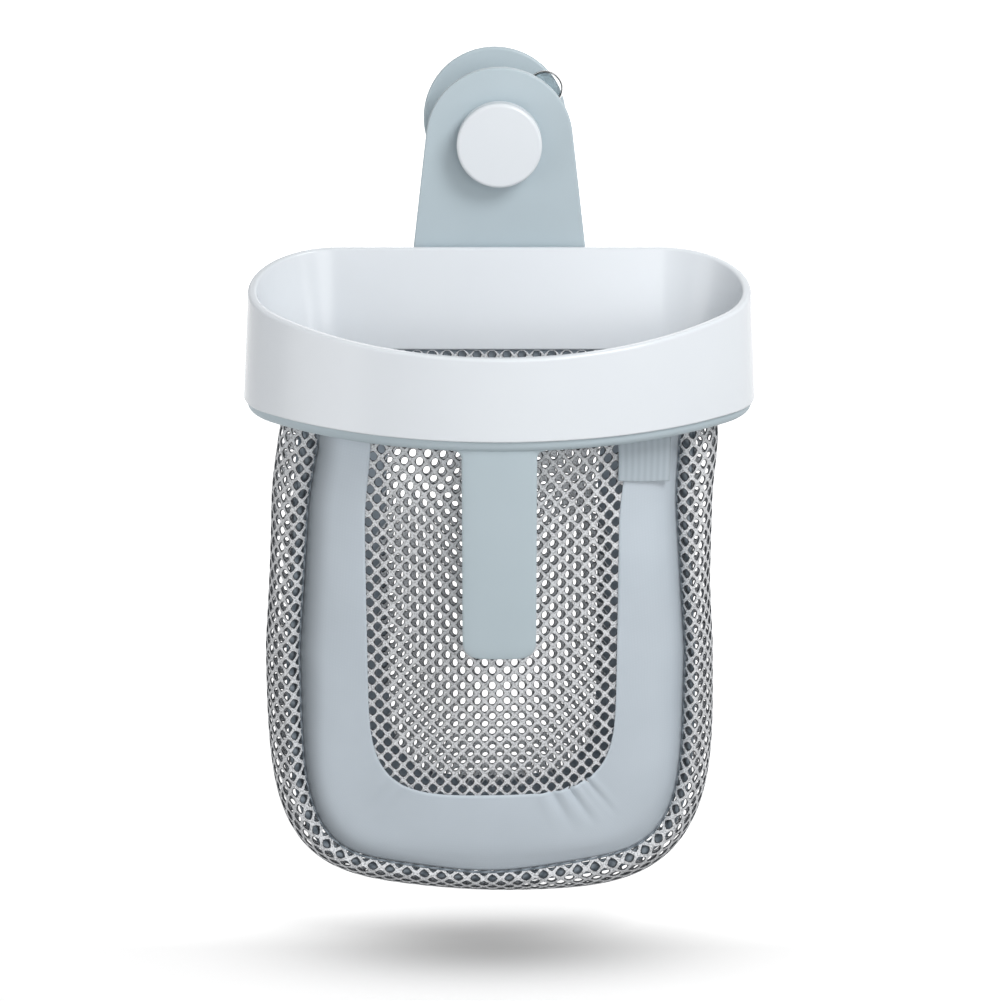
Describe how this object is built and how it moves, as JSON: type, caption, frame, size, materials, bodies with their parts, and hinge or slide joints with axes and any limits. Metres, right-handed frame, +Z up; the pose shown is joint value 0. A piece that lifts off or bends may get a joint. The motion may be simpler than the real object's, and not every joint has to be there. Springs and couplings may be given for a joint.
{
  "type": "wall-hung bath toy scoop",
  "caption": "Wall-hung bath toy organizer: oval scoop rim with mesh drain bag and front grip, hung by a thumb nut on a suction cup that sticks to a glued wall disc.",
  "frame": {"origin": "middle of the wall disc's glued back face, on the wall plane", "axes": "+Z up, +Y into the wall, +X to the right for someone facing the wall"},
  "size_m": [0.2348, 0.142, 0.3978],
  "materials": {
    "foam": "closed-cell foam tape",
    "grey_plastic": "satin",
    "clear_vinyl": "clear gloss",
    "plated_steel": "zinc plated",
    "nylon": "natural",
    "white_plastic": "soft gloss",
    "mesh_cloth": "knitted polyester mesh",
    "satin_cloth": "satin polyester"
  },
  "bodies": {
    "wall_mount": {"adhesive_pad": "foam", "wall_disc": "grey_plastic"},
    "cup": {"suction_cup": "clear_vinyl", "cup_stud": "plated_steel"},
    "scoop": {"frame": "grey_plastic", "rim": "white_plastic", "hem_tape": "satin_cloth", "front_mesh": "mesh_cloth", "front_trim": "satin_cloth", "side_mesh": "mesh_cloth", "back_mesh": "mesh_cloth", "back_trim": "satin_cloth", "front_seam": "satin_cloth", "back_seam": "satin_cloth", "blank_tag": "satin_cloth"},
    "washer": {"knob_washer": "nylon"},
    "knob": {"lock_knob": "white_plastic"}
  },
  "joints": [
    {"name": "cup_release", "type": "slide", "parent": "wall_mount", "child": "cup", "axis": [0, -1, 0], "range_m": [0, 0.06]},
    {"name": "scoop_swivel", "type": "hinge", "parent": "cup", "child": "scoop", "pos_m": [0.0022, -0.0277, -0.0055], "axis": [0, -1, 0], "continuous": true},
    {"name": "nut_travel", "type": "slide", "parent": "cup", "child": "washer", "axis": [0, -1, 0], "range_m": [0, 0.0061]},
    {"name": "nut_turn", "type": "hinge", "parent": "washer", "child": "knob", "pos_m": [0.0022, -0.036, -0.0055], "axis": [0, -1, 0], "range_deg": [0, 2160]}
  ],
  "couplings": [
    {"joint": "nut_travel", "follows": "nut_turn", "m_per_rad": 0.00015915}
  ]
}
